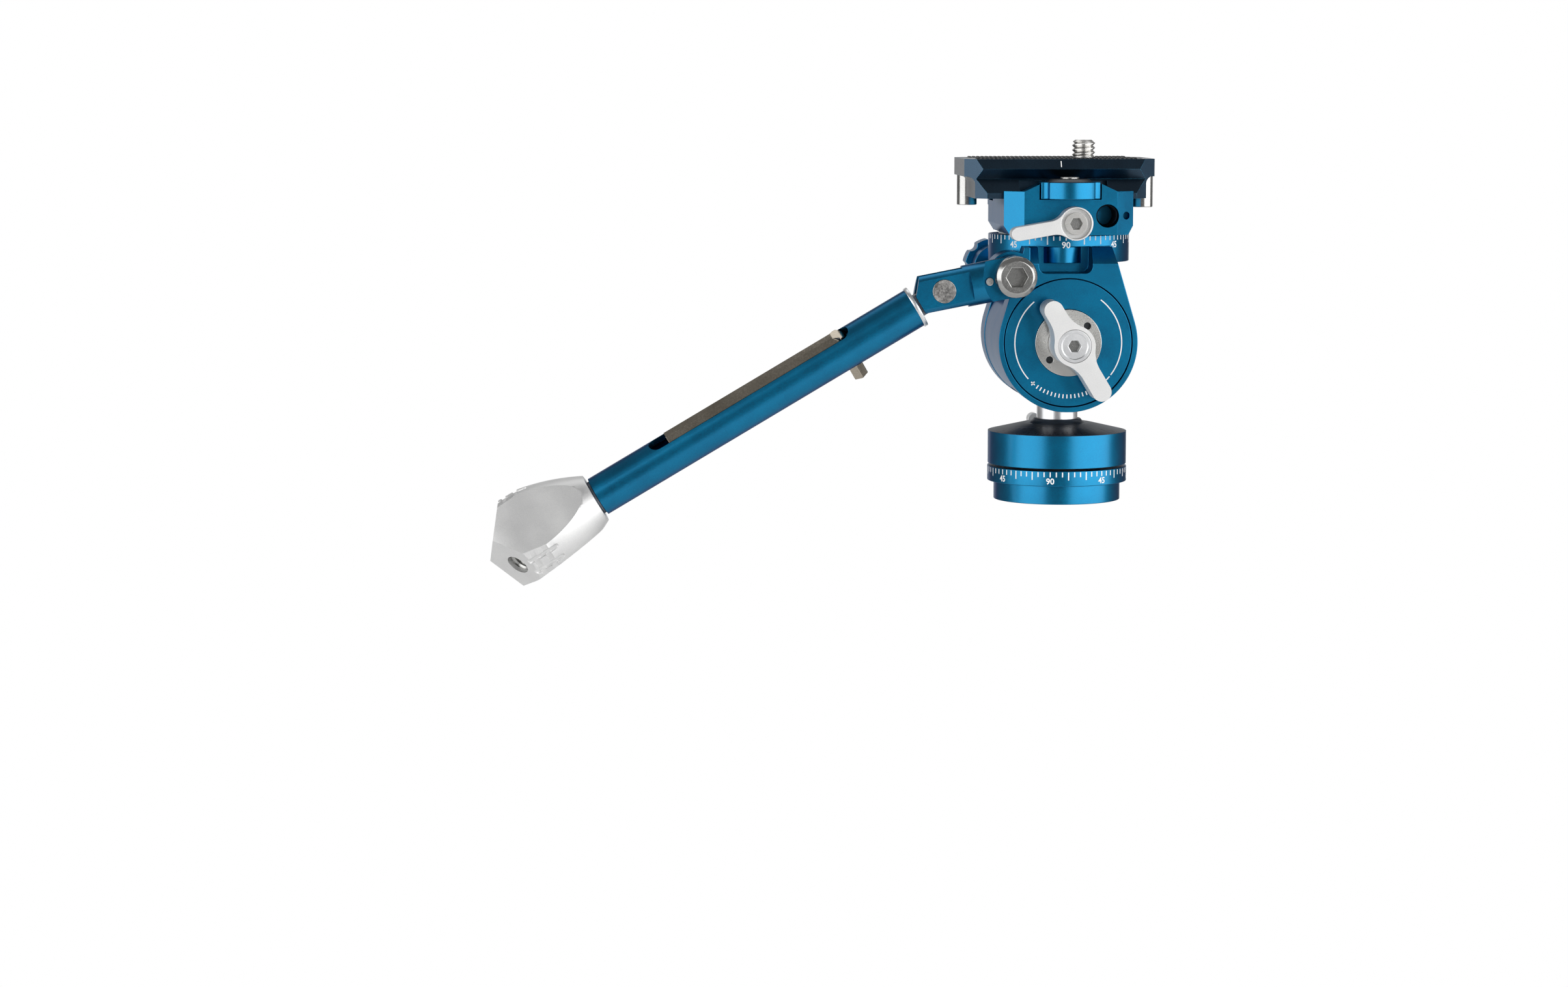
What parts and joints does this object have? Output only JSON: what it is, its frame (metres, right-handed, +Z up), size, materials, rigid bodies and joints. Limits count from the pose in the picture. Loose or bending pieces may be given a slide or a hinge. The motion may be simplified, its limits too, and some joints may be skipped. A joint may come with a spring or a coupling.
{
  "type": "hybrid tripod head",
  "caption": "Small tripod head with a panning base, a locking ball, a tilting yoke with a folding handle, and a panning clamp that holds a camera plate.",
  "frame": {"origin": "centre of the underside of the base, at the mouth of the tripod thread", "axes": "X to the right of the lever face, Y away from it, Z up the pan axis"},
  "size_m": [0.1822, 0.0721, 0.1197],
  "materials": {
    "blue_anodised": "satin anodised",
    "dark_anodised": "satin anodised",
    "polished_silver": "polished",
    "satin_silver": "bead blasted",
    "bright_steel": "satin",
    "blackened_steel": "black oxide",
    "black_rubber": "matt",
    "pale_bearing_plastic": "matt"
  },
  "bodies": {
    "base": {"base_flange": "blue_anodised", "pan_axle": "bright_steel", "axle_nut": "bright_steel", "lower_dial_ring": "blue_anodised", "pan_washer": "pale_bearing_plastic"},
    "pan_drum": {"base_drum": "blue_anodised", "drum_cap": "dark_anodised", "ball_stem": "polished_silver"},
    "lower_pan_lock": {"lower_pan_lever": "polished_silver", "lower_pan_screw": "bright_steel"},
    "ball_liner": {"ball_liner": "pale_bearing_plastic"},
    "ball_cup": {"ball_cup": "blue_anodised", "lock_disc": "blue_anodised", "rear_disc": "blue_anodised", "spanner_nut": "bright_steel"},
    "brake_shoe": {"brake_shoe": "blackened_steel"},
    "ball_lock": {"ball_lock_lever": "polished_silver", "lock_screw": "bright_steel", "lever_cap": "polished_silver"},
    "yoke": {"yoke": "blue_anodised", "drag_washer_front": "bright_steel", "drag_washer_rear": "bright_steel", "upper_pan_axle": "bright_steel", "upper_axle_nut": "bright_steel", "upper_pan_washer": "pale_bearing_plastic", "handle_bracket": "blue_anodised", "handle_bolt": "bright_steel", "index_dowel": "bright_steel", "elbow_pin": "bright_steel"},
    "tilt_lock": {"tilt_lock_knob": "blue_anodised", "tilt_lock_screw": "bright_steel"},
    "clamp": {"clamp_body": "blue_anodised"},
    "upper_pan_lock": {"pan_lock_lever": "polished_silver", "pan_lock_screw": "bright_steel"},
    "clamp_knob": {"clamp_knob": "blue_anodised", "clamp_washer": "polished_silver", "clamp_stud": "bright_steel"},
    "plate": {"plate": "dark_anodised", "pad_front": "black_rubber", "pad_rear": "black_rubber", "stop_pin_left": "bright_steel", "stop_pin_right": "bright_steel"},
    "screw_carrier": {"screw_washer": "bright_steel"},
    "camera_screw": {"camera_screw": "bright_steel"},
    "handle": {"elbow_tongue": "dark_anodised", "tube_washer": "polished_silver", "handle_tube": "blue_anodised", "grip_ring": "dark_anodised", "grip": "satin_silver"},
    "hex_key": {"hex_key": "bright_steel"}
  },
  "joints": [
    {"name": "lower_pan", "type": "hinge", "parent": "base", "child": "pan_drum", "pos_m": [0, 0, 0.0101], "axis": [0, 0, 1], "continuous": true},
    {"name": "lower_pan_lock", "type": "hinge", "parent": "pan_drum", "child": "lower_pan_lock", "pos_m": [0, 0.0193, 0.0146], "axis": [0, -1, 0], "range_deg": [0, 60]},
    {"name": "ball_lean_front", "type": "hinge", "parent": "pan_drum", "child": "ball_liner", "pos_m": [0, 0, 0.045], "axis": [1, 0, 0], "range_deg": [-14, 14]},
    {"name": "ball_lean_side", "type": "hinge", "parent": "ball_liner", "child": "ball_cup", "pos_m": [0, 0, 0.045], "axis": [0, 1, 0], "range_deg": [-14, 14]},
    {"name": "ball_lock", "type": "hinge", "parent": "ball_cup", "child": "ball_lock", "pos_m": [0, 0, 0.045], "axis": [0, -1, 0], "range_deg": [0, 75]},
    {"name": "brake_release", "type": "slide", "parent": "ball_cup", "child": "brake_shoe", "axis": [0, -1, 0], "range_m": [0, 0.0003]},
    {"name": "tilt", "type": "hinge", "parent": "ball_cup", "child": "yoke", "pos_m": [0, 0, 0.045], "axis": [0, -1, 0], "range_deg": [-75, 30]},
    {"name": "tilt_lock", "type": "hinge", "parent": "yoke", "child": "tilt_lock", "pos_m": [-0.0156, 0.027, 0.0635], "axis": [0, 1, 0], "range_deg": [0, 90]},
    {"name": "upper_pan", "type": "hinge", "parent": "yoke", "child": "clamp", "pos_m": [0, 0, 0.074], "axis": [0, 0, 1], "continuous": true},
    {"name": "upper_pan_lock", "type": "hinge", "parent": "clamp", "child": "upper_pan_lock", "pos_m": [0.0008, -0.0256, 0.0777], "axis": [0, 1, 0], "range_deg": [0, 25]},
    {"name": "clamp_knob", "type": "hinge", "parent": "clamp", "child": "clamp_knob", "pos_m": [-0.00015, -0.0234, 0.0842], "axis": [0, 0, 1], "range_deg": [0, 270]},
    {"name": "plate_slide", "type": "slide", "parent": "clamp", "child": "plate", "axis": [1, 0, 0], "range_m": [-0.0008, 0.0035]},
    {"name": "screw_slide", "type": "slide", "parent": "plate", "child": "screw_carrier", "axis": [1, 0, 0], "range_m": [-0.0145, 0.0007]},
    {"name": "camera_screw", "type": "hinge", "parent": "screw_carrier", "child": "camera_screw", "pos_m": [0.0068, 0, 0.0884], "axis": [0, 0, 1], "continuous": true},
    {"name": "handle_elbow", "type": "hinge", "parent": "yoke", "child": "handle", "pos_m": [-0.035, -0.0283, 0.0597], "axis": [0, -1, 0], "range_deg": [-109, 20]},
    {"name": "hex_key_out", "type": "slide", "parent": "handle", "child": "hex_key", "axis": [-0.4418, -0.5, 0.7449], "range_m": [0, 0.016]}
  ]
}
